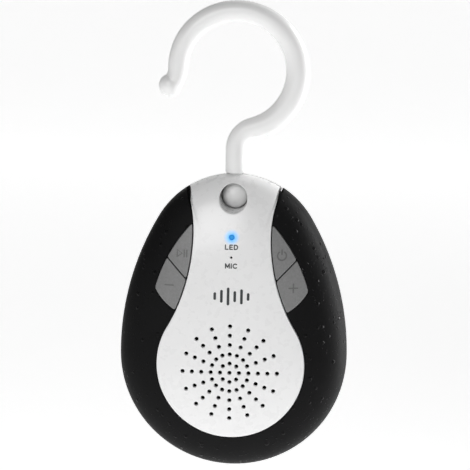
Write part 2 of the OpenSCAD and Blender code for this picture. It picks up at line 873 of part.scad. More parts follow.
// An upright receptacle: a rounded metal shell with its tongue inside
module charge_socket() {
    mouth = port_floor - 0.3;
    base = charge_y + charge_size[1];
    module stadium(grow) {
        w = socket_size[0] / 2 - socket_size[2] / 2;
        for (s = [-1, 1]) translate([s * w, socket_z]) circle(r = socket_size[2] / 2 + grow, $fn = 48);
        translate([-w, socket_z - socket_size[2] / 2 - grow]) square([2 * w, socket_size[2] + 2 * grow]);
    }
    color("silver") hang() {
        difference() {
            prism(base, mouth) stadium(0);
            prism(base + 1.5, far) stadium(-0.3);
        }
        translate([-3.3, base + 1, socket_z - 0.35]) cube([6.6, mouth - base - 2, 0.7]);
    }
}

module charge_screws() {
    color("silver") hang() on_both_sides()
        translate([charge_size[0] / 2 - 2.5, charge_y, charge_z + 6]) rotate([90, 0, 0])
            pan_screw(board_screw_r - 0.05, 5, 1.9, 1.2);
}

module port_flap() {
    plate_low = port_low + flap_gap;
    color("#1d1d1f") hang() difference() {
        union() {
            translate([-port_w / 2 + flap_gap, back_flat - 2, plate_low])
                cube([port_w - 2 * flap_gap, 1.9, pin_z - plate_low]);
            along_x(-port_w / 2 + flap_gap, pin_y, pin_z) cylinder(r = knuckle_r, h = port_w - 2 * flap_gap, $fn = 48);
        }
        along_x(-port_w, pin_y, pin_z) cylinder(r = pin_r + 0.06, h = 2 * port_w, $fn = 48);
    }
}

module port_seal() {
    color("gray") hang()
        translate([-port_w / 2 + 1.4, port_floor, port_low + 1.6]) cube([port_w - 2.8, back_flat - 2 - port_floor, 6.4]);
}

module flap_pin() {
    color("silver") hang() along_x(-port_w / 2 - 0.95, pin_y, pin_z) cylinder(r = pin_r, h = port_w + 1.9, $fn = 32);
}

// ---- leads --------------------------------------------------------------------

// A lead through hand-picked points, smoothed by a Catmull-Rom curve
module lead(points, r) {
    n = len(points);
    function p(i) = points[max(0, min(n - 1, i))];
    function spline(i, s) = 0.5 * (2 * p(i) + (p(i + 1) - p(i - 1)) * s
        + (2 * p(i - 1) - 5 * p(i) + 4 * p(i + 1) - p(i + 2)) * s * s
        + (3 * p(i) - p(i - 1) - 3 * p(i + 1) + p(i + 2)) * s * s * s);
    path = concat([for (i = [0:n - 2]) for (k = [0:3]) spline(i, k / 4)], [points[n - 1]]);
    swept(path, r, 8);
}

lead_r = 0.55;
speaker_route = [[0, -7.95, 19.6], [0, -6.6, 19.6], [0, -4.6, 18.4], [0, -2.7, 18.2], [0, -1.9, 19.6], [0, -1.9, 21.96]];
battery_route = [[0, 10, 10.05], [0, 10, 11], [0, 9.5, 14], [0, 5.5, 17], [0, 4, 19.5], [0, 5.3, 22]];
charge_route = [[0, 5.3, 26], [0, 3.5, 25.5], [0, 1.8, 24.6], [0, 0.4, 24.2]];

module lead_pair(route, x, gap, first, second) {
    color(first) hang() translate([x - gap / 2, 0, 0]) lead(route, lead_r);
    color(second) hang() translate([x + gap / 2, 0, 0]) lead(route, lead_r);
}

module speaker_leads() {
    lead_pair(speaker_route, -3, 1.8, "red", "black");
}

module battery_leads() {
    lead_pair(battery_route, 9, 1.8, "red", "black");
}

module charge_leads() {
    lead_pair(charge_route, 4.5, 1.8, "red", "black");
}

hook();
bush_front();
bush_rear();
front_panel();
rear_cap();
front_shell();
back_shell();
case_gasket();
case_screws();
screw_plugs();
key_power();
key_answer();
key_volume_up();
key_volume_down();
plunger_power();
plunger_answer();
plunger_volume_up();
plunger_volume_down();
key_seal_right();
key_seal_left();
tact_switches();
main_board();
board_screws();
radio_module();
amplifier_chip();
board_parts();
status_led();
light_pipe();
microphone();
microphone_boot();
acoustic_mesh();
driver_gasket();
driver_basket();
driver_magnet();
driver_top_plate();
driver_yoke();
driver_terminals();
driver_screws();
surround();
spider();
cone();
dust_cap();
voice_coil();
battery();
battery_pad();
charge_board();
charge_socket();
charge_screws();
port_flap();
port_seal();
flap_pin();
speaker_leads();
battery_leads();
charge_leads();
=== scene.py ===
"""A shower speaker: an egg-shaped sealed housing with a white front panel, hung from a swivelling hook."""

import math

import bmesh
import bpy
from mathutils import Matrix, Vector


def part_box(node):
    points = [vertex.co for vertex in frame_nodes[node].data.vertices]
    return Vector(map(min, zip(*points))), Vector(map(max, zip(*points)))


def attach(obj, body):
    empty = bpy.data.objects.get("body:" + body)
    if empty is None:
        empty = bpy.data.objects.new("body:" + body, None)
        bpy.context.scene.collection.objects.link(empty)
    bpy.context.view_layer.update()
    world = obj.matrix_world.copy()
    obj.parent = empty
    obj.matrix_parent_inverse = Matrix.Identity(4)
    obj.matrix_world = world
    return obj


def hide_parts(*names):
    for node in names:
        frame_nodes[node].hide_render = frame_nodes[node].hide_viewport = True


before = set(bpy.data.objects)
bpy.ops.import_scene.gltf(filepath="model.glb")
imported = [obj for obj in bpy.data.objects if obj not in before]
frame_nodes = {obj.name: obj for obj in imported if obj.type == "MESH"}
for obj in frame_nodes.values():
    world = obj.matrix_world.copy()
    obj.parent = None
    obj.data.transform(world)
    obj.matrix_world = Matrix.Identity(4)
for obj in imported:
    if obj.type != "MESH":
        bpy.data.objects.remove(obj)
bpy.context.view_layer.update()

# ---- Camera ---------------------------------------------------------------------
# A long lens, a little above the speaker and a few degrees to its right.

AZIMUTH, ELEVATION, ROLL = math.radians(4.6), math.radians(10.0), math.radians(0.7)
DISTANCE, FRAME_WIDTH = 1.1, 0.2061
aim = Vector((0.0, 0.0, -0.0938))
back = Vector((math.sin(AZIMUTH) * math.cos(ELEVATION), -math.cos(AZIMUTH) * math.cos(ELEVATION),
               math.sin(ELEVATION)))
camera = bpy.data.objects.new("camera", bpy.data.cameras.new("camera"))
camera.data.sensor_width = 36
camera.data.lens = 36 * DISTANCE / FRAME_WIDTH
camera.location = aim + back * DISTANCE
camera.rotation_mode = "QUATERNION"
camera.rotation_quaternion = (-back).to_track_quat("-Z", "Y") @ Matrix.Rotation(ROLL, 3, "Z").to_quaternion()
bpy.context.scene.collection.objects.link(camera)
bpy.context.scene.camera = camera

# ---- Studio ---------------------------------------------------------------------
# A pale sweep: a floor well under the hanging speaker that curves up into a wall far behind it, a large soft
# light from the upper left and a tall strip that draws the right-hand edges.

MM = 0.001


class Wire:
    """A value or colour on its way through a finish's nodes. Arithmetic on it adds Math nodes."""

    def __init__(self, finish, node, socket):
        self.finish, self.node, self.socket = finish, node, socket

    def out(self, name):
        return Wire(self.finish, self.node, self.node.outputs[name])

    def maths(self, operation, *values, clamp=False):
        return self.finish.node("Math", {"operation": operation, "use_clamp": clamp}, dict(enumerate(values)))

    def __add__(self, other):
        return self.maths("ADD", self, other)

    def __sub__(self, other):
        return self.maths("SUBTRACT", self, other)

    def __rsub__(self, other):
        return self.maths("SUBTRACT", other, self)

    def __mul__(self, other):
        return self.maths("MULTIPLY", self, other)

    __radd__, __rmul__ = __add__, __mul__

    def ramp(self, low, high):
        """0 at low and 1 at high, with a smooth step between. High may be the smaller of the two."""
        if low > high:
            return 1 - self.ramp(high, low)
        return self.finish.node("MapRange", {"interpolation_type": "SMOOTHSTEP"},
                                {"Value": self, "From Min": low, "From Max": high})


class Finish:
    """A material. node() adds one node: its settings go first, then the values or links of its sockets."""

    def __init__(self, name, **constants):
        self.material = bpy.data.materials.new(name)
        self.material.use_nodes = True
        self.tree = self.material.node_tree
        self.shader = self.tree.nodes["Principled BSDF"]
        self.place = self.node("TexCoord").out("Object")
        self.set({key.replace("_", " "): value for key, value in constants.items()})

    def plug(self, socket, value):
        if isinstance(value, Wire):
            self.tree.links.new(value.socket, socket)
        elif socket.type == "RGBA" and len(value) == 3:
            socket.default_value = (*value, 1.0)
        else:
            socket.default_value = value

    def node(self, kind, settings={}, sockets={}):
        new = self.tree.nodes.new("ShaderNode" + kind)
        for key, value in settings.items():
            setattr(new, key, value)
        for key, value in sockets.items():
            self.plug(new.inputs[key], value)
        return Wire(self, new, new.outputs[0])

    def set(self, values):
        for key, value in values.items():
            self.plug(self.shader.inputs[key], value)

    def noise(self, per_mm, detail=2.0, rough=0.5):
        """Soft clouds; per_mm is how many of them come to a millimetre."""
        return self.node("TexNoise", {}, {"Vector": self.place, "Scale": per_mm / MM, "Detail": detail,
                                          "Roughness": rough}).out("Fac")

    def far_from(self, spot):
        """Distance in millimetres from a spot given in metres."""
        gap = self.node("VectorMath", {"operation": "DISTANCE"}, {0: self.place, 1: spot}).out("Value")
        return gap * (1 / MM)

    def blend(self, share, low, high):
        """A colour between low and high."""
        mix = self.node("Mix", {"data_type": "RGBA"}).node
        for socket, value in zip((mix.inputs[0], mix.inputs[6], mix.inputs[7]), (share, low, high)):
            self.plug(socket, value)
        return Wire(self, mix, mix.outputs[2])

    def relief(self, height, depth_mm, strength=1.0, under=None):
        """A bump from a height between 0 and 1, as deep as depth_mm."""
        sockets = {"Height": height, "Distance": depth_mm * MM, "Strength": strength}
        if under is not None:
            sockets["Normal"] = under
        return self.node("Bump", {}, sockets)

    def beads(self, per_mm, share, size):
        """Standing drops: round mounds in some of the cells of a cell pattern, 1 high at their tops."""
        cells = self.node("TexVoronoi", {"feature": "F1"},
                          {"Vector": self.place, "Scale": per_mm / MM, "Randomness": 0.9})
        pick = self.node("SeparateColor", {}, {0: cells.out("Color")})
        radius = pick.out("Green") * size
        mound = self.node("Math", {"operation": "SUBTRACT", "use_clamp": True},
                          {0: radius, 1: cells.out("Distance")})
        steep = self.node("Math", {"operation": "MULTIPLY", "use_clamp": True}, {0: mound, 1: 2.6 / size})
        round_top = self.node("Math", {"operation": "POWER"}, {0: steep, 1: 0.6})
        return round_top * pick.out("Red").ramp(1 - share, 1.02 - share)


def link(name, bm, finish):
    """Turns a bmesh into an object with one finish."""
    mesh = bpy.data.meshes.new(name)
    bm.to_mesh(mesh)
    bm.free()
    thing = bpy.data.objects.new(name, mesh)
    bpy.context.scene.collection.objects.link(thing)
    mesh.materials.append(finish.material)
    return thing


sweep = bmesh.new()
bmesh.ops.create_grid(sweep, x_segments=2, y_segments=2, size=3.0)
bmesh.ops.translate(sweep, verts=sweep.verts, vec=(0, 0, -0.5))
far_edge = [e for e in sweep.edges if all(v.co.y > 2.9 for v in e.verts)]
bmesh.ops.spin(sweep, geom=far_edge, cent=(0, 3.0, 0.5), axis=(1, 0, 0), dvec=(0, 0, 0),
               angle=math.radians(90), steps=16, use_duplicate=False)
top_edge = [e for e in sweep.edges if all(v.co.y > 3.98 for v in e.verts)]
rise = bmesh.ops.extrude_edge_only(sweep, edges=top_edge)["geom"]
bmesh.ops.translate(sweep, verts=[v for v in rise if isinstance(v, bmesh.types.BMVert)], vec=(0, 0, 3.0))
bmesh.ops.recalc_face_normals(sweep, faces=sweep.faces)
paper = Finish("studio_paper", Roughness=0.9)
paper.set({"Base Color": paper.blend(paper.noise(0.01), (0.93, 0.93, 0.93), (0.96, 0.96, 0.96))})
paper.set({"Emission Color": (1.0, 1.0, 1.0), "Emission Strength": 0.66})
studio_sweep = link("studio_sweep", sweep, paper)
studio_sweep.data.shade_smooth()

world = bpy.data.worlds.new("studio")
bpy.context.scene.world = world
world.use_nodes = True
world.node_tree.nodes["Background"].inputs["Color"].default_value = (1.0, 1.0, 1.0, 1.0)
world.node_tree.nodes["Background"].inputs["Strength"].default_value = 0.12
bpy.context.scene.view_settings.view_transform = "Standard"


def soft_box(name, at, aim_at, size, power):
    """A rectangular area light that faces a spot."""
    lamp = bpy.data.lights.new(name, "AREA")
    lamp.shape, lamp.size, lamp.size_y = "RECTANGLE", *size
    lamp.energy = power
    thing = bpy.data.objects.new(name, lamp)
    thing.location = at
    thing.rotation_euler = (Vector(aim_at) - Vector(at)).to_track_quat("-Z", "Y").to_euler()
    bpy.context.scene.collection.objects.link(thing)


soft_box("key_left", (-0.35, -1.25, 0.45), (0, 0, -0.1), (0.7, 0.7), 7.5)
soft_box("strip_right", (0.7, 0.3, 0.05), (0, 0, -0.06), (0.2, 0.9), 9)
soft_box("top", (0.1, 0.5, 0.8), (0, 0, -0.1), (0.8, 0.5), 1.5)

# ---- Hook -----------------------------------------------------------------------
# One white plastic moulding: a ball at the tip, a round rod that thickens on the loaded side, a reverse
# bend, a stem, and the slim pivot and ball that the housing swivels on. It is one tube, grown ring by ring.

HOOK_IN, ROD, BEND, STEM, PIVOT = 21.35, 4.55, 9.5, 4.5, 2.8
TIP_BALL, TIP_ANGLE, TIP_END, FLARE_BEND = 5.0, 178.0, -44.0, 12.0
LOW_BALL, BALL_DROP = 5.7, 9.3
HEIGHT, LOW_R = 130.0, 50.0
top_of_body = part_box("front_shell")[0].z / MM + HEIGHT
white = Finish("white_moulding", IOR=1.47, Coat_Weight=0.12, Coat_Roughness=0.22)
white.set({
    "Base Color": white.blend(white.noise(0.05), (0.83, 0.83, 0.825), (0.87, 0.87, 0.868)),
    "Roughness": white.noise(0.4) * 0.1 + 0.27,
    "Normal": white.relief(white.noise(1.6, 3.0), 0.02, 0.25),
})


def skin(rings):
    """A closed mesh in millimetres through rings of spots. Its two ends are capped."""
    bm = bmesh.new()
    edge = None
    for spots in rings:
        if edge is None:
            made = bmesh.ops.create_circle(bm, cap_ends=False, segments=len(spots), radius=1)["verts"]
            edge = list(bm.edges)
        else:
            grown = bmesh.ops.extrude_edge_only(bm, edges=edge)["geom"]
            made = [v for v in grown if isinstance(v, bmesh.types.BMVert)]
            edge = [e for e in grown if isinstance(e, bmesh.types.BMEdge) and e.is_boundary]
        for vert, spot in zip(made, spots):
            vert.co = spot
    bmesh.ops.holes_fill(bm, edges=bm.edges)
    bmesh.ops.remove_doubles(bm, verts=bm.verts, dist=0.003)
    bmesh.ops.recalc_face_normals(bm, faces=bm.faces)
    return bm


def settle(thing, lift=0.0, sharp=35):
    """Takes a piece modelled in millimetres to its place in metres. Edges over sharp degrees stay crisp."""
    thing.data.transform(Matrix.Scale(MM, 4) @ Matrix.Translation((0, 0, lift)))
    thing.data.shade_smooth()
    thing.data.set_sharp_from_angle(angle=math.radians(sharp))
    return thing


def rod(angle):
    """Radius of the rod by the angle round the ring."""
    table = [(-80, ROD - 0.35), (-60, ROD + 0.45), (-30, ROD + 0.75), (0, ROD + 0.65), (45, ROD + 0.3),
             (90, ROD), (150, ROD), (178, ROD - 0.2)]
    for (a, low), (b, high) in zip(table, table[1:]):
        if angle <= b:
            return low + (high - low) * max(0.0, (angle - a) / (b - a))
    return table[-1][1]


def round_ring(centre, along, radius, sides=48):
    """A ring of spots square to a direction in the plane of X and Z."""
    along = along.normalized()
    across = along.cross(Vector((0, 1, 0)))
    return [centre + (Vector((0, 1, 0)) * math.cos(2 * math.pi * k / sides)
                      + across * math.sin(2 * math.pi * k / sides)) * radius for k in range(sides)]


def on_arc(centre, radius, degrees, way):
    """A spot on an arc in the plane of X and Z, and the direction along it."""
    a = math.radians(degrees)
    outwards = Vector((math.cos(a), 0, math.sin(a)))
    return centre + outwards * radius, Vector((-math.sin(a), 0, math.cos(a))) * way


ring_centre = Vector((0, 0, -HOOK_IN))
bend_reach = HOOK_IN + rod(-74.65) + BEND
bend_drop = math.sqrt(bend_reach ** 2 - BEND ** 2)
bend_angle = math.degrees(math.atan2(bend_drop, BEND))
tip_reach = HOOK_IN + rod(TIP_ANGLE) + FLARE_BEND
tip_centre = on_arc(ring_centre, tip_reach, TIP_ANGLE, 1)[0]
tip_start, tip_along = on_arc(tip_centre, FLARE_BEND, TIP_END, 1)

hook_rings = []
for k in range(1, 14):
    a = math.radians(180 - 122 * k / 13)
    on_axis = tip_start + tip_along * TIP_BALL * math.cos(a)
    hook_rings.append(round_ring(on_axis, tip_along, TIP_BALL * math.sin(a)))
from_degrees = TIP_END + math.degrees(TIP_BALL * math.cos(math.radians(58)) / FLARE_BEND)
for k in range(1, 10):
    s = k / 10
    spot, along = on_arc(tip_centre, FLARE_BEND, from_degrees + s * (TIP_ANGLE - 180 - from_degrees), 1)
    slim = TIP_BALL * math.sin(math.radians(58))
    radius = slim + (rod(TIP_ANGLE) - slim) * s - 0.12 * math.sin(math.pi * s)
    hook_rings.append(round_ring(spot, along, radius))
for k in range(81):
    degrees = TIP_ANGLE - (TIP_ANGLE + bend_angle) * k / 80
    hook_rings.append(round_ring(*on_arc(ring_centre, HOOK_IN + rod(degrees), degrees, -1), rod(degrees)))
bend_centre = ring_centre + Vector((BEND, 0, -bend_drop))
for k in range(1, 19):
    s = k / 18
    ease = s * s * (3 - 2 * s)
    hook_rings.append(round_ring(*on_arc(bend_centre, BEND, 180 - bend_angle + bend_angle * s, 1),
                                 rod(-bend_angle) * (1 - ease) + STEM * ease - 0.12 * math.sin(math.pi * s)))
ball_at = Vector((0, 0, top_of_body - BALL_DROP))
down = Vector((0, 0, -1))
stem_meets = math.asin(PIVOT / LOW_BALL)
shoulder = top_of_body + 0.4
for z, radius in ((bend_centre.z - 3, STEM), (shoulder + 0.5, STEM), (shoulder + 0.15, STEM - 0.15),
                  (shoulder, STEM - 0.5), (shoulder, PIVOT + 0.3), (shoulder - 0.3, PIVOT),
                  (ball_at.z + LOW_BALL * math.cos(stem_meets) + 0.4, PIVOT)):
    hook_rings.append(round_ring(Vector((0, 0, z)), down, radius))
for k in range(1, 20):
    a = stem_meets + (math.pi - 0.05 - stem_meets) * k / 19
    hook_rings.append(round_ring(ball_at - down * LOW_BALL * math.cos(a), down, LOW_BALL * math.sin(a)))
hook = settle(link("hook_moulding", skin(hook_rings), white), 0, 60)
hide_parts("hook")
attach(hook, "hook")

# ---- Front panel ----------------------------------------------------------------
# A glossy white moulding, 1.8 mm thick, shaped like a keyhole. It follows the front dome, its edge is rounded
# by 0.4 mm, and it is pierced for the ball, the status light, the microphone and the loudspeaker.

TOP_R = 38.75
FRONT, BACK, BACK_FLAT = (21.0, 2.5), (19.0, 2.8), 18.0
PANEL_T, PANEL_R, PANEL_Z, WAIST_W, WAIST_DROP, FLARE_R = 1.8, 32.3, -1.9, 16.8, 24.8, 52.5
GRILLE_Z, PITCH, CIRCLES, HOLE_R, WINDOW_R = -4.5, 4.12, 5, 0.9, 6.6
TOP_Z = HEIGHT - LOW_R
WAIST_Z, BALL_Z, LIFT = TOP_Z - WAIST_DROP, TOP_Z - BALL_DROP, top_of_body - TOP_Z
LED_Z, MIC_Z = WAIST_Z - 0.6, WAIST_Z - 9.2
TOP_C = TOP_Z - TOP_R
SIDE_R = (LOW_R ** 2 + TOP_C ** 2 - TOP_R ** 2) / (2 * (LOW_R - TOP_R))
SIDE_X = SIDE_R - LOW_R
NECK_H = WAIST_Z - PANEL_Z
NECK_R = (WAIST_W ** 2 + NECK_H ** 2 - PANEL_R ** 2) / (2 * (PANEL_R - WAIST_W))


def egg(angle, inset=0.0):
    """Radius of the housing's outline in one direction: a round foot, two long side arcs and a round top."""
    s, c = math.sin(angle), abs(math.cos(angle))
    if s <= 0:
        return LOW_R - inset
    join = math.atan2(TOP_C, SIDE_X)
    turn = math.atan2(TOP_C + (TOP_R - inset) * math.sin(join), (TOP_R - inset) * math.cos(join))
    if math.atan2(s, c) < turn:
        return math.sqrt((SIDE_R - inset) ** 2 - (SIDE_X * s) ** 2) - SIDE_X * c
    return TOP_C * s + math.sqrt(max(0.0, (TOP_R - inset) ** 2 - (TOP_C * c) ** 2))


def dome(x, z, inset, face):
    """How far a dome stands off the seam over (x, z). The back's is cut to a soft-edged land."""
    depth, power = face
    q = min(1.0, math.hypot(x, z) / egg(math.atan2(z, x), inset))
    high = (depth - inset) * (1 - q ** power) ** (1 / power)
    if face is not BACK:
        return high
    land = BACK_FLAT - inset
    mix = max(0.0, min(1.0, 0.5 + 0.5 * (land - high) / 0.5))
    return min(land, land * (1 - mix) + high * mix - 0.5 * mix * (1 - mix))


def in_egg(x, z, inset):
    return math.hypot(x, z) <= egg(math.atan2(z, x), inset)


def in_panel(x, z, grow):
    """The keyhole: a round end, two hollow sides and a flare over the waist."""
    tangent = math.atan2(NECK_H, WAIST_W + NECK_R)
    if z < PANEL_Z + (PANEL_R + grow) * math.sin(tangent):
        return math.hypot(x, z - PANEL_Z) <= PANEL_R + grow
    r = NECK_R if z < WAIST_Z else FLARE_R
    return math.hypot(abs(x) - WAIST_W - r, z - WAIST_Z) >= r - grow and abs(x) < WAIST_W + r


def reach(inside, centre, angle):
    """How far a region goes from a centre in one direction, found by halving."""
    low, high = 0.0, 90.0
    for _ in range(34):
        mid = (low + high) / 2
        if inside(centre[0] + mid * math.cos(angle), centre[1] + mid * math.sin(angle)):
            low = mid
        else:
            high = mid
    return low


def outline(inside, centre, angles):
    """The region's edge, as offsets from the centre."""
    found = [(a, reach(inside, centre, a)) for a in angles]
    return [(r * math.cos(a), r * math.sin(a)) for a, r in found]


def all_round(count, extra=()):
    """Directions all round, with a few more at the corners of an outline."""
    return sorted([2 * math.pi * k / count for k in range(count)] + [a % (2 * math.pi) for a in extra])


def corner(first, second, centre, low, high):
    """The direction between low and high in which two regions reach equally far."""
    for _ in range(30):
        mid = (low + high) / 2
        if reach(first, centre, mid) < reach(second, centre, mid):
            low = mid
        else:
            high = mid
    return mid


def cover(inside, centre, angles, face, thickness, edge, steps=44, back_at=None, top_inset=0.0):
    """Rings for a moulding that covers part of a dome: its face, its rounded edge, its wall and its back,
    which follows the dome or is flat at back_at. inside(x, z, grow) is its region."""
    ways = 1 if face is BACK else -1

    def ring(offsets, share, inset, drop=0.0, flat=None):
        spots = []
        for u, v in offsets:
            x, z = centre[0] + u * share, centre[1] + v * share
            spots.append((x, ways * (max(0.05, dome(x, z, inset, face) - drop) if flat is None else flat), z))
        return spots

    def limit(grow, inset):
        return outline(lambda x, z: inside(x, z, grow) and in_egg(x, z, inset), centre, angles)

    shares = [math.sin(math.pi / 2 * k / steps) ** 0.8 for k in range(1, steps + 1)]
    rings = [ring(limit(-edge, top_inset + 0.02), s, top_inset) for s in shares]
    for k in range(1, 6):
        a = math.pi / 2 * k / 5
        rings.append(ring(limit(-edge * (1 - math.sin(a)), top_inset + 0.02), 1.0, top_inset,
                          edge * (1 - math.cos(a))))
    if back_at is None:
        rings += [ring(limit(0.0, thickness), s, thickness) for s in reversed(shares)]
    else:
        rings += [ring(limit(0.0, top_inset + 0.02), s, 0.0, 0.0, back_at) for s in (1.0, 0.5)]
    return rings


def prism(offsets, centre, low, high):
    """A straight-sided cutter along Y over an outline."""
    return skin([[(centre[0] + u, y, centre[1] + v) for u, v in offsets] for y in (low, high)])


def bore(x, z, profile, sides):
    """A round cutter along Y through (y, radius) pairs."""
    return skin([[(x + r * math.cos(2 * math.pi * k / sides), y, z + r * math.sin(2 * math.pi * k / sides))
                  for k in range(sides)] for y, r in profile])


def gather(*parts):
    """Several separate closed meshes as one."""
    whole = bmesh.new()
    for part in parts:
        mesh = bpy.data.meshes.new("part")
        part.to_mesh(mesh)
        part.free()
        whole.from_mesh(mesh)
        bpy.data.meshes.remove(mesh)
    return whole


def combine(piece, bm, operation="DIFFERENCE"):
    """Adds, removes or keeps in common a second solid."""
    other = link("other", bm, white)
    step = piece.modifiers.new("combine", "BOOLEAN")
    step.operation, step.object, step.solver = operation, other, "EXACT"
    bpy.context.view_layer.update()
    result = bpy.data.meshes.new_from_object(piece.evaluated_get(bpy.context.evaluated_depsgraph_get()))
    piece.modifiers.clear()
    piece.data = result
    bpy.data.objects.remove(other)
    return piece


def half(face, inset, past=0.0, groove=0.0, around=192, steps=40):
    """Half of the egg: a dome closed at the seam, or past it. The groove rounds the rim."""
    depth, power = face
    ways = 1 if face is BACK else -1
    ways_round = [2 * math.pi * k / around for k in range(around)]
    rings = []
    if past:
        rings.append([(egg(a, inset) * math.cos(a), -ways * past, egg(a, inset) * math.sin(a))
                      for a in ways_round])
    for k in range(4 if groove else 0):
        turn = math.pi / 2 * k / 4
        rim_inset, rim_y = inset + groove * (1 - math.sin(turn)), ways * groove * (1 - math.cos(turn))
        rings.append([(egg(a, rim_inset) * math.cos(a), rim_y, egg(a, rim_inset) * math.sin(a))
                      for a in ways_round])
    for k in range(steps + 1):
        turn = math.pi / 2 * (1 - k / (steps + 1))
        share = math.sin(turn) ** (2 / power)
        spots = []
        for a in ways_round:
            r = egg(a, inset) * share
            x, z = r * math.cos(a), r * math.sin(a)
            spots.append((x, ways * max(groove, dome(x, z, inset, face)), z))
        rings.append(spots)
    return skin(rings)


def trimmed(bm, by):
    """A solid kept only where it lies inside a second one."""
    piece = combine(link("trimmed", bm, white), by, "INTERSECT")
    kept = bmesh.new()
    kept.from_mesh(piece.data)
    bpy.data.objects.remove(piece)
    return kept


panel_white = Finish("panel_gloss_white_painted_glow", IOR=1.48, Coat_Weight=0.25, Coat_Roughness=0.15)
# Painted glow: within 3.9 mm of the status light the panel's base colour is tinted blue and it emits a little
# blue light, strongest within 1 mm, standing in for the lamp's light falling on the white plastic.
glow = panel_white.far_from((0.0, -dome(0, LED_Z, 0, FRONT) * MM, (LED_Z + LIFT) * MM))
painted_led_glow = glow.ramp(3.9, 1.0)
clean = panel_white.blend(panel_white.noise(0.04), (0.85, 0.85, 0.85), (0.89, 0.89, 0.89))
wet = panel_white.beads(0.4, 0.10, 0.42)
panel_white.set({
    "Base Color": panel_white.blend(painted_led_glow, clean, (0.16, 0.5, 0.86)),
    "Emission Color": panel_white.blend(painted_led_glow, (0.0, 0.0, 0.0), (0.02, 0.22, 0.6)),
    "Roughness": panel_white.noise(0.3) * 0.08 + 0.24,
    "Normal": panel_white.relief(wet, 0.10, 0.35,
                                 panel_white.relief(panel_white.noise(1.2, 3.0), 0.02, 0.3)),
})
panel_white.shader.inputs["Emission Strength"].default_value = 0.8

heart = (0.0, 24.0)
panel_corner = corner(lambda x, z: in_panel(x, z, 0), lambda x, z: in_egg(x, z, 0.02), heart,
                      math.radians(60), math.radians(80))
panel_ways = all_round(240, (panel_corner, math.pi - panel_corner))
panel_rings = cover(in_panel, heart, panel_ways, FRONT, PANEL_T, 0.4)
panel = link("front_panel_moulding", skin(panel_rings), panel_white)
holes = []
for circle in range(CIRCLES + 1):
    count = 1 if circle == 0 else 8 if circle == 1 else 16
    for k in range(count):
        a = 2 * math.pi * k / count
        x, z = circle * PITCH * math.sin(a), GRILLE_Z + circle * PITCH * math.cos(a)
        face_y = -dome(x, z, 0, FRONT)
        mouth_r = HOLE_R + 0.15
        holes.append(bore(x, z, [(-30, mouth_r), (face_y + 0.02, mouth_r), (face_y + 0.17, HOLE_R),
                                 (-8, HOLE_R)], 24))
holes.append(bore(0, LED_Z, [(-30, 1.3), (-5, 1.3)], 40))
holes.append(bore(0, MIC_Z, [(-30, 0.55), (-5, 0.55)], 24))
collar = bore(0, BALL_Z, [(-30, WINDOW_R + 0.03), (-0.6, WINDOW_R + 0.03)], 96)
combine(panel, trimmed(collar, half(FRONT, 0.9, around=128, steps=24)), "UNION")
rim = []
for out, depth in [(0.5, -6.0)] + [(0.5 - 0.5 * math.sin(t), 0.5 - 0.5 * math.cos(t))
                                   for t in (math.pi / 2 * k / 6 for k in range(7))] + [(0.0, None)]:
    spots = []
    for k in range(96):
        a = 2 * math.pi * k / 96
        x = (WINDOW_R - 0.5 + out) * math.cos(a)
        z = BALL_Z + (WINDOW_R - 0.5 + out) * math.sin(a)
        spots.append((x, -0.4 if depth is None else depth - dome(x, z, 0, FRONT), z))
    rim.append(spots)
holes.append(skin(rim))
combine(panel, gather(*holes))
settle(panel, LIFT, 40)
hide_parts("front_panel")
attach(panel, "housing")

# ---- Marks on the panel -----------------------------------------------------------
# Dark grey pad print, made of round-ended strokes that lie on the dome: the labels of the light and of the
# microphone, and a plain sound-level mark.

ink = Finish("grey_ink", IOR=1.45)
ink.set({
    "Base Color": ink.blend(ink.noise(3.0), (0.028, 0.032, 0.034), (0.04, 0.045, 0.048)),
    "Roughness": ink.noise(2.0) * 0.15 + 0.35,
    "Normal": ink.relief(ink.noise(6.0), 0.01, 0.3),
})


def ribbon(bm, path, wide, inset=0.0, proud=0.03, deep=0.12):
    """Adds a flat stroke along a path of (x, z), with round ends, that lies on the front dome."""
    ends = 5
    lengths = [math.dist(a, b) for a, b in zip(path, path[1:])]
    spots = []
    for k in range(ends + 1):
        a = math.pi / 2 * k / ends
        way = ((path[1][0] - path[0][0]) / lengths[0], (path[1][1] - path[0][1]) / lengths[0])
        back_off = wide / 2 * math.cos(a)
        spots.append((path[0][0] - way[0] * back_off, path[0][1] - way[1] * back_off, way,
                      max(0.02, math.sin(a))))
    for before, spot, after in zip(path, path[1:], path[2:]):
        way = (after[0] - before[0], after[1] - before[1])
        size = math.hypot(*way)
        spots.append((*spot, (way[0] / size, way[1] / size), 1.0))
    for k in range(ends + 1):
        a = math.pi / 2 * (1 - k / ends)
        way = ((path[-1][0] - path[-2][0]) / lengths[-1], (path[-1][1] - path[-2][1]) / lengths[-1])
        ahead = wide / 2 * math.cos(a)
        spots.append((path[-1][0] + way[0] * ahead, path[-1][1] + way[1] * ahead, way,
                      max(0.02, math.sin(a))))
    made = bmesh.ops.create_grid(bm, x_segments=len(spots) - 1, y_segments=2, size=1)["verts"]
    columns = sorted(made, key=lambda v: (round(v.co.x, 6), v.co.y))
    for k, (x, z, way, share) in enumerate(spots):
        for row, side in enumerate((-1, 0, 1)):
            u, w = x - way[1] * side * share * wide / 2, z + way[0] * side * share * wide / 2
            columns[3 * k + row].co = (u, -dome(u, w, inset, FRONT) - proud, w)
    faces = list({f for v in made for f in v.link_faces})
    grown = bmesh.ops.extrude_face_region(bm, geom=faces)["geom"]
    bmesh.ops.translate(bm, verts=[v for v in grown if isinstance(v, bmesh.types.BMVert)], vec=(0, deep, 0))


def arc_path(cx, cz, r, start, end, count=14):
    """Points along an arc between two angles in degrees."""
    return [(cx + r * math.cos(math.radians(start + (end - start) * k / count)),
             cz + r * math.sin(math.radians(start + (end - start) * k / count))) for k in range(count + 1)]


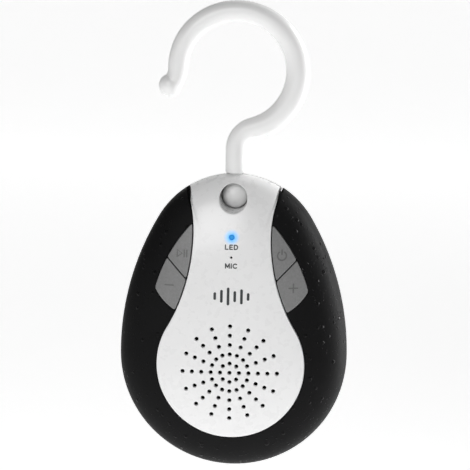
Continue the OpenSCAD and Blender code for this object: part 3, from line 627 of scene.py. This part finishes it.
marks = bmesh.new()
letters = {
    "L": ([[(0, 1), (0, 0)], [(0, 0), (0.62, 0)]], 0.62),
    "E": ([[(0, 1), (0, 0)], [(0, 0), (0.62, 0)], [(0, 0.52), (0.56, 0.52)], [(0, 1), (0.62, 1)]], 0.62),
    "D": ([[(0, 1), (0, 0)],
           [(0, 0), (0.3, 0)] + arc_path(0.3, 0.5, 0.5, -84, 84) + [(0.3, 1), (0, 1)]], 0.8),
    "M": ([[(0, 0), (0, 1)], [(0, 1), (0.46, 0.2)], [(0.46, 0.2), (0.92, 1)], [(0.92, 1), (0.92, 0)]], 0.92),
    "I": ([[(0, 1), (0, 0)]], 0.0),
    "C": ([arc_path(0.5, 0.5, 0.5, 48, 312)], 0.86),
}
for word, low, tall, wide in (("LED", WAIST_Z - 5.65, 1.78, 0.5), ("MIC", WAIST_Z - 13.7, 1.78, 0.5)):
    gap = 0.66
    total = sum(letters[c][1] * tall for c in word) + gap * (len(word) - 1) * 1.25
    x = -total / 2
    for c in word:
        for stroke in letters[c][0]:
            ribbon(marks, [(x + u * tall, low + v * tall) for u, v in stroke], wide)
        x += letters[c][1] * tall + gap * 1.25
for k, stroke in enumerate((1.1, 2.2, 3.3, 1.8, 2.7, 1.1)):
    ribbon(marks, [(0.4 + (k - 2.5) * 2.9, 29.2 - stroke), (0.4 + (k - 2.5) * 2.9, 29.2 + stroke)], 1.15)
bmesh.ops.recalc_face_normals(marks, faces=marks.faces)
panel_marks = settle(link("panel_marks", marks, ink), LIFT, 40)
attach(panel_marks, "housing")

# ---- Front shell ------------------------------------------------------------------
# Black plastic with a soft-touch coat. A recess takes the white panel, an opening on each side takes a pair
# of keys, and the floor of the recess has the loudspeaker's opening. Its rim and the back shell's meet in a
# fine groove all round.

WALL, PANEL_GAP, KEY_GAP, KEY_SLIT = 3.6, 0.35, 0.3, 0.5
KEY_SIDE, KEY_FOOT = (-33.2, WAIST_Z - 42.2, 69.1), (13.3, WAIST_Z - 12.9, 22.9)
SPLIT, SPLIT_ANGLE = (23.85, WAIST_Z - 14.8), math.radians(46)
POST_UPPER, POST_LOWER = (21.8, WAIST_Z - 8.2), (27.0, WAIST_Z - 22.2)
DRIVER_WINDOW = 22.0

soft_black = Finish("soft_touch_black", IOR=1.45, Specular_IOR_Level=0.1)
grain = soft_black.noise(4.5, 3.0, 0.6)
drops = soft_black.beads(0.42, 0.34, 0.46)
fine_drops = soft_black.beads(1.1, 0.28, 0.44)
wet = drops.maths("MAXIMUM", drops, fine_drops)
soft_black.set({
    "Base Color": soft_black.blend(soft_black.noise(0.06), (0.0045, 0.0045, 0.0048),
                                   (0.0075, 0.0075, 0.0078)),
    "Roughness": soft_black.noise(0.8) * 0.1 + 0.52 - wet * 0.35,
    "Normal": soft_black.relief(drops, 0.5, 1.0,
                                soft_black.relief(fine_drops, 0.2, 0.9,
                                                  soft_black.relief(grain, 0.015, 0.5))),
})


def key_edges(x, z):
    """How far a spot is outside a pair's long edge, its foot and its side along the panel."""
    hollow = NECK_R if z < WAIST_Z else FLARE_R
    return [math.hypot(x - KEY_SIDE[0], z - KEY_SIDE[1]) - KEY_SIDE[2],
            math.hypot(x - KEY_FOOT[0], z - KEY_FOOT[1]) - KEY_FOOT[2],
            math.hypot(x - WAIST_W - hollow, z - WAIST_Z) - (hollow - PANEL_GAP - KEY_GAP / 2)]


def rounded(edges, r):
    """Distance outside the meeting of several edges, with its corners rounded to r."""
    over = math.hypot(*[max(0.0, e + r) for e in edges])
    return over - r if over > 0 else max(edges)


def neck_channel(middle):
    """An upright cutter for the hook's neck, with the height of its middle."""
    bm = bmesh.new()
    bmesh.ops.create_cone(bm, cap_ends=True, segments=48, radius1=PIVOT + 0.5, radius2=PIVOT + 0.5, depth=20)
    bmesh.ops.translate(bm, verts=bm.verts, vec=(0, 0, middle))
    return bm


key_heart = (25.0, WAIST_Z - 14.0)
PAST_TOP = TOP_Z + 8
around_keys = outline(lambda x, z: rounded(key_edges(x, z), 1.0) <= KEY_GAP, key_heart, all_round(160))
recess = outline(lambda x, z: in_panel(x, z, PANEL_GAP) and z < PAST_TOP, heart,
                 all_round(240, (math.pi / 2,)))
front_shell = link("front_shell_moulding", half(FRONT, 0.0, groove=0.25), soft_black)
combine(front_shell, prism(recess, heart, -40, 1))
combine(front_shell, half(FRONT, PANEL_T), "UNION")
combine(front_shell, half(FRONT, WALL, past=2.0, around=128, steps=24))
hub = bore(0, BALL_Z, [(-30, WINDOW_R + 2), (0, WINDOW_R + 2)], 64)
combine(front_shell, trimmed(hub, half(FRONT, PANEL_T + 0.6, around=128, steps=24)), "UNION")
openings = [bore(0, BALL_Z, [(-40, WINDOW_R), (0.3, WINDOW_R)], 96),
            bore(0, GRILLE_Z, [(-40, DRIVER_WINDOW), (-1, DRIVER_WINDOW)], 96),
            bore(0, LED_Z, [(-30, 1.3), (-1, 1.3)], 32), bore(0, MIC_Z, [(-30, 0.55), (-1, 0.55)], 24)]
for side in (1, -1):
    openings.append(prism([(side * u, v) for u, v in around_keys], (side * key_heart[0], key_heart[1]),
                          -40, -1))
combine(front_shell, gather(*openings))
combine(front_shell, neck_channel(BALL_Z + 10 + LOW_BALL * 0.8))
settle(front_shell, LIFT, 30)
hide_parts("front_shell")
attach(front_shell, "housing")

# ---- Keys ---------------------------------------------------------------------------
# Four grey plastic keys, two a side, split along a slant. Each follows the dome, has rounded edges, and
# carries a slightly darker mark. Behind them are plungers that press the switches on the board.

KEY_ROUND, KEY_BACK = 0.3, -9.6
key_grey = Finish("grey_key_plastic", IOR=1.47, Coat_Roughness=0.35)
speckle = key_grey.noise(1.1, 4.0, 0.65)
key_wet = key_grey.beads(0.5, 0.2, 0.42)
key_grey.set({
    "Base Color": key_grey.blend(speckle, (0.165, 0.165, 0.165), (0.275, 0.275, 0.275)),
    "Roughness": key_grey.noise(0.7) * 0.12 + 0.36,
    "Normal": key_grey.relief(key_wet, 0.1, 0.4, key_grey.relief(speckle, 0.03, 0.3)),
})
key_mark = Finish("key_mark_grey", IOR=1.45)
key_mark.set({
    "Base Color": key_mark.blend(key_mark.noise(1.5, 3.0), (0.11, 0.11, 0.11), (0.16, 0.16, 0.16)),
    "Roughness": key_mark.noise(2.0) * 0.1 + 0.4,
    "Normal": key_mark.relief(key_mark.noise(4.0), 0.01, 0.3),
})


def in_one_key(upper, side):
    """The region of one key: its half of the pair, over or under the slant."""
    across = (-math.sin(SPLIT_ANGLE), math.cos(SPLIT_ANGLE))

    def inside(x, z, grow):
        x *= side
        over = (x - SPLIT[0]) * across[0] + (z - SPLIT[1]) * across[1]
        slant = KEY_SLIT / 2 - over if upper else over + KEY_SLIT / 2
        return rounded(key_edges(x, z) + [slant], 0.6) <= grow

    return inside


marks_by_key = {
    "key_power": [arc_path(0, 0, 1.9, 125, 415, 24), [(0, 0.6), (0, 2.5)]],
    "key_answer": [[(-1.9, -1.5), (-1.9, 1.5), (0.3, 0), (-1.9, -1.5)], [(1.2, -1.4), (1.2, 1.4)],
                   [(2.3, -1.4), (2.3, 1.4)]],
    "key_volume_up": [[(-1.8, 0), (1.8, 0)], [(0, -1.8), (0, 1.8)]],
    "key_volume_down": [[(-1.8, 0), (1.8, 0)]],
}
for node, side, upper in (("key_power", 1, True), ("key_answer", -1, True),
                          ("key_volume_up", 1, False), ("key_volume_down", -1, False)):
    post = POST_UPPER if upper else POST_LOWER
    middle = (side * (post[0] + (0.4 if upper else 0.2)), post[1])
    rings = cover(in_one_key(upper, side), middle, all_round(180), FRONT, 0.0, KEY_ROUND, 20, KEY_BACK, 0.05)
    cap = settle(link(node + "_cap", skin(rings), key_grey), LIFT, 40)
    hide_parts(node)
    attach(cap, node)
    strokes = bmesh.new()
    for path in marks_by_key[node]:
        ribbon(strokes, [(side * post[0] + u, post[1] + v) for u, v in path], 0.62, 0.05, 0.04, 0.15)
    bmesh.ops.recalc_face_normals(strokes, faces=strokes.faces)
    sign = settle(link(node + "_mark", strokes, key_mark), LIFT, 40)
    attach(sign, node)

# ---- Back shell ---------------------------------------------------------------------
# The same soft-touch plastic, a shallower dome cut to a flat land that rests on a wall. It has the recess of
# the rear cap, six screw wells, the charging bay and a finger scoop under the bay's cover.

PORT_W, PORT_LOW, PIN_Z, SOCKET_Z = 17.0, 24.0, 34.1, 29.0
PORT_FLOOR = BACK_FLAT - 2.4
SCREW_INSET, SCREW_SEAT, HEAD_R, HEAD_H = 8.5, 8.0, 2.6, 1.6
SCREW_DROP, SCREW_IN = 22.8, 10.3
right_screws = [(math.sqrt(TOP_R ** 2 - (TOP_R - SCREW_DROP) ** 2) - SCREW_IN, TOP_Z - SCREW_DROP)]
for a in (math.radians(14), math.radians(-53)):
    right_screws.append((egg(a, SCREW_INSET) * math.cos(a), egg(a, SCREW_INSET) * math.sin(a)))
screw_spots = right_screws + [(-x, z) for x, z in right_screws]


def in_cap(x, z, grow):
    """The rear cap: a round tab that flares out over the waist."""
    if z < WAIST_Z:
        return math.hypot(x, z - WAIST_Z) <= WAIST_W + grow
    clear = math.hypot(abs(x) - WAIST_W - FLARE_R, z - WAIST_Z) >= FLARE_R - grow
    return clear and abs(x) < WAIST_W + FLARE_R


def block(low, high, edge=0.0):
    """A box between two corners. Its edges along Y are rounded where edge is given."""
    bm = bmesh.new()
    bmesh.ops.create_cube(bm, size=1)
    bmesh.ops.scale(bm, verts=bm.verts, vec=[b - a for a, b in zip(low, high)])
    bmesh.ops.translate(bm, verts=bm.verts, vec=[(a + b) / 2 for a, b in zip(low, high)])
    if edge:
        along = [e for e in bm.edges if abs(e.verts[0].co.y - e.verts[1].co.y) > 1e-6]
        bmesh.ops.bevel(bm, geom=along, offset=edge, offset_type="OFFSET", affect="EDGES", segments=4,
                        profile=0.5, material=-1)
    return bm


cap_heart = (0.0, WAIST_Z + 6.0)
cap_recess = outline(lambda x, z: in_cap(x, z, PANEL_GAP) and z < PAST_TOP, cap_heart, all_round(200))
back_shell = link("back_shell_moulding", half(BACK, 0.0, groove=0.25), soft_black)
combine(back_shell, prism(cap_recess, cap_heart, -1, 40))
combine(back_shell, half(BACK, PANEL_T), "UNION")
combine(back_shell, half(BACK, WALL, past=2.0, around=128, steps=24))
bosses = gather(
    block((-PORT_W / 2 - 1.4, PORT_FLOOR - 1.4, PORT_LOW - 1.4), (PORT_W / 2 + 1.4, 40, PIN_Z + 2.7)),
    *[bore(x, z, [(0.3, 4.0), (40, 4.0)], 48) for x, z in screw_spots])
combine(back_shell, trimmed(bosses, half(BACK, PANEL_T + 0.6, around=128, steps=24)), "UNION")
wells = []
for x, z in screw_spots:
    face_y = dome(x, z, 0, BACK)
    wells.append(bore(x, z, [(SCREW_SEAT, HEAD_R + 0.3), (face_y - 0.6, HEAD_R + 0.3),
                             (face_y + 6, HEAD_R + 0.5)], 48))
combine(back_shell, gather(*wells))
combine(back_shell, block((-PORT_W / 2, PORT_FLOOR, PORT_LOW), (PORT_W / 2, 40, PIN_Z + 1.3), 0.6))
combine(back_shell, block((-4.9, 2, SOCKET_Z - 2), (4.9, 30, SOCKET_Z + 2), 1.4))
combine(back_shell, bore(0, PORT_LOW, [(BACK_FLAT - 1, 2.5), (BACK_FLAT + 1, 4.5)], 48))
settle(back_shell, LIFT, 30)
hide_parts("back_shell")
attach(back_shell, "housing")

# ---- Rear cap -----------------------------------------------------------------------
# The white band of the panel carried over the top on to the back, where it ends in a round tab. Same
# moulding plastic, 1.8 mm thick, with a notch for the hook's neck.

cap_corner = corner(lambda x, z: in_cap(x, z, 0), lambda x, z: in_egg(x, z, 0.02), cap_heart,
                    math.radians(20), math.radians(80))
cap_ways = all_round(200, (cap_corner, math.pi - cap_corner))
rear_cap = link("rear_cap_moulding", skin(cover(in_cap, cap_heart, cap_ways, BACK, PANEL_T, 0.4)), white)
combine(rear_cap, neck_channel(BALL_Z + 10))
settle(rear_cap, LIFT, 40)
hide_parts("rear_cap")
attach(rear_cap, "housing")

# ---- Screw plugs and charging cover -----------------------------------------------------
# Six soft black plugs hide the case screws. The bay's cover is a rounded plate with a knuckle along its
# upper edge that turns on a steel pin.

plugs = []
for x, z in screw_spots:
    top = SCREW_SEAT + HEAD_H + 1.6
    plugs.append(bore(x, z, [(top - 1.6, 2.88), (top - 0.3, 2.88), (top - 0.08, 2.8), (top, 2.6),
                             (top - 0.02, 1.3), (top - 0.3, 1.15)], 48))
rubber_black = Finish("black_rubber_plug", IOR=1.45)
rubber_black.set({
    "Base Color": rubber_black.blend(rubber_black.noise(0.5), (0.012, 0.012, 0.013), (0.02, 0.02, 0.021)),
    "Roughness": rubber_black.noise(1.5) * 0.15 + 0.55,
    "Normal": rubber_black.relief(rubber_black.noise(5.0, 3.0), 0.02, 0.5),
})
screw_plugs = settle(link("screw_plug_buttons", gather(*plugs), rubber_black), LIFT, 40)
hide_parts("screw_plugs")
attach(screw_plugs, "housing")

FLAP_GAP = 0.4
plate = block((-PORT_W / 2 + FLAP_GAP, BACK_FLAT - 2, PORT_LOW + FLAP_GAP),
              (PORT_W / 2 - FLAP_GAP, BACK_FLAT - 0.1, PIN_Z))
low_corners = [e for e in plate.edges if all(v.co.z < PORT_LOW + 1 for v in e.verts)
               and abs(e.verts[0].co.y - e.verts[1].co.y) > 1]
bmesh.ops.bevel(plate, geom=low_corners, offset=0.6, offset_type="OFFSET", affect="EDGES", segments=5,
                profile=0.5, material=-1)
outer_rim = [e for e in plate.edges if all(v.co.y > BACK_FLAT - 0.2 for v in e.verts)
             and not all(v.co.z > PIN_Z - 0.1 for v in e.verts)]
bmesh.ops.bevel(plate, geom=outer_rim, offset=0.25, offset_type="OFFSET", affect="EDGES", segments=3,
                profile=0.5, material=-1)
knuckle = bmesh.new()
bmesh.ops.create_cone(knuckle, cap_ends=True, segments=40, radius1=1.0, radius2=1.0,
                      depth=PORT_W - 2 * FLAP_GAP)
bmesh.ops.rotate(knuckle, verts=knuckle.verts, cent=(0, 0, 0),
                 matrix=Matrix.Rotation(math.radians(90), 3, "Y"))
bmesh.ops.translate(knuckle, verts=knuckle.verts, vec=(0, BACK_FLAT - 1.1, PIN_Z))
flap = link("charging_cover", plate, soft_black)
combine(flap, knuckle, "UNION")
settle(flap, LIFT, 35)
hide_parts("port_flap")
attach(flap, "port_cover")

# ---- Status light, microphone and loudspeaker ---------------------------------------------
# The parts that show through the panel: a clear light pipe with a blue lamp behind it, the microphone in its
# rubber boot, the black cloth behind the grille, and the loudspeaker's cone and rubber surround.

lamp_blue = Finish("lit_light_pipe", IOR=1.49, Roughness=0.15)
beam = lamp_blue.far_from((0.0, -dome(0, LED_Z, 0, FRONT) * MM, (LED_Z + LIFT) * MM)).ramp(1.5, 0.2)
lamp_blue.set({
    "Base Color": lamp_blue.blend(beam, (0.01, 0.06, 0.14), (0.02, 0.1, 0.2)),
    "Emission Color": lamp_blue.blend(beam, (0.004, 0.18, 0.5), (0.008, 0.24, 0.62)),
    "Emission Strength": 0.9,
    "Normal": lamp_blue.relief(lamp_blue.noise(2.0), 0.02, 0.3),
})


def finish_nodes(finish, *names):
    """Gives CAD parts that stay as they are a finish of their own."""
    for name in names:
        part = frame_nodes[name]
        for k in range(max(1, len(part.material_slots))):
            if part.material_slots:
                part.material_slots[k].material = finish.material
            else:
                part.data.materials.append(finish.material)


def mottled(name, dark, light, rough, per_mm, depth, spread=0.12, **constants):
    """A finish with a little colour, roughness and grain of its own."""
    made = Finish(name, **constants)
    made.set({
        "Base Color": made.blend(made.noise(per_mm, 3.0), dark, light),
        "Roughness": made.noise(per_mm * 2) * spread + rough,
        "Normal": made.relief(made.noise(per_mm * 4, 3.0), depth, 0.4),
    })
    return made


finish_nodes(lamp_blue, "light_pipe", "status_led")
finish_nodes(mottled("microphone_can", (0.5, 0.5, 0.51), (0.6, 0.6, 0.61), 0.3, 1.5, 0.01, Metallic=1.0),
             "microphone")
finish_nodes(mottled("boot_rubber", (0.014, 0.014, 0.015), (0.024, 0.024, 0.025), 0.6, 0.8, 0.02),
             "microphone_boot")

cloth = Finish("speaker_cloth", IOR=1.4)
weave = cloth.node("TexChecker", {}, {"Vector": cloth.place, "Scale": 5.0 / MM}).out("Fac")
cloth.set({
    "Base Color": cloth.blend(weave, (0.003, 0.003, 0.003), (0.008, 0.008, 0.008)),
    "Roughness": cloth.noise(2.0) * 0.1 + 0.8,
    "Normal": cloth.relief(weave, 0.04, 0.5),
})
cloth.shader.inputs["Specular IOR Level"].default_value = 0.1
finish_nodes(cloth, "acoustic_mesh")
finish_nodes(mottled("pressed_paper", (0.02, 0.02, 0.022), (0.035, 0.035, 0.038), 0.7, 2.0, 0.04),
             "cone", "dust_cap")
finish_nodes(mottled("surround_rubber", (0.012, 0.012, 0.013), (0.02, 0.02, 0.021), 0.5, 1.0, 0.01),
             "surround", "driver_gasket")
finish_nodes(mottled("spider_cloth", (0.42, 0.3, 0.12), (0.52, 0.38, 0.17), 0.75, 3.0, 0.05), "spider")
finish_nodes(mottled("basket_steel", (0.3, 0.3, 0.31), (0.38, 0.38, 0.39), 0.35, 0.8, 0.02, Metallic=1.0),
             "driver_basket", "driver_top_plate", "driver_yoke")
finish_nodes(mottled("ferrite", (0.035, 0.035, 0.037), (0.055, 0.055, 0.058), 0.6, 1.2, 0.04),
             "driver_magnet")
finish_nodes(mottled("coil_copper", (0.62, 0.28, 0.13), (0.75, 0.38, 0.2), 0.3, 6.0, 0.05, Metallic=1.0),
             "voice_coil")

# ---- Ball seat and inside parts -------------------------------------------------------------
# The two halves of the plastic seat that the hook's ball turns in, and what the housing hides: boards, cell,
# switches, seals, screws and leads, each in its usual material.

finish_nodes(mottled("seat_plastic", (0.5, 0.5, 0.5), (0.58, 0.58, 0.575), 0.35, 0.5, 0.02),
             "bush_front", "bush_rear")
finish_nodes(mottled("screw_steel", (0.6, 0.6, 0.62), (0.72, 0.72, 0.74), 0.22, 2.0, 0.01, Metallic=1.0),
             "case_screws", "board_screws", "driver_screws", "charge_screws", "flap_pin", "charge_socket",
             "driver_terminals")
finish_nodes(mottled("seal_rubber", (0.075, 0.075, 0.078), (0.1, 0.1, 0.104), 0.6, 0.8, 0.02),
             "key_seal_right", "key_seal_left", "case_gasket", "port_seal")
finish_nodes(mottled("black_acetal", (0.014, 0.014, 0.015), (0.022, 0.022, 0.023), 0.4, 0.8, 0.01),
             "plunger_power", "plunger_answer", "plunger_volume_up", "plunger_volume_down", "tact_switches")
finish_nodes(mottled("solder_mask", (0.008, 0.1, 0.035), (0.015, 0.14, 0.05), 0.3, 0.6, 0.02),
             "main_board", "charge_board")
finish_nodes(mottled("moulded_chip", (0.012, 0.012, 0.013), (0.02, 0.02, 0.021), 0.45, 1.0, 0.02),
             "radio_module", "amplifier_chip")
finish_nodes(mottled("tan_parts", (0.3, 0.2, 0.09), (0.42, 0.3, 0.15), 0.4, 1.5, 0.02), "board_parts")
finish_nodes(mottled("cell_wrap", (0.55, 0.57, 0.6), (0.66, 0.68, 0.7), 0.25, 0.3, 0.04, Metallic=0.6),
             "battery")
finish_nodes(mottled("foam_pad", (0.02, 0.02, 0.02), (0.045, 0.045, 0.045), 0.85, 2.5, 0.15), "battery_pad")
finish_nodes(mottled("lead_insulation", (0.45, 0.02, 0.015), (0.55, 0.035, 0.025), 0.35, 1.0, 0.01),
             "speaker_leads", "battery_leads", "charge_leads")
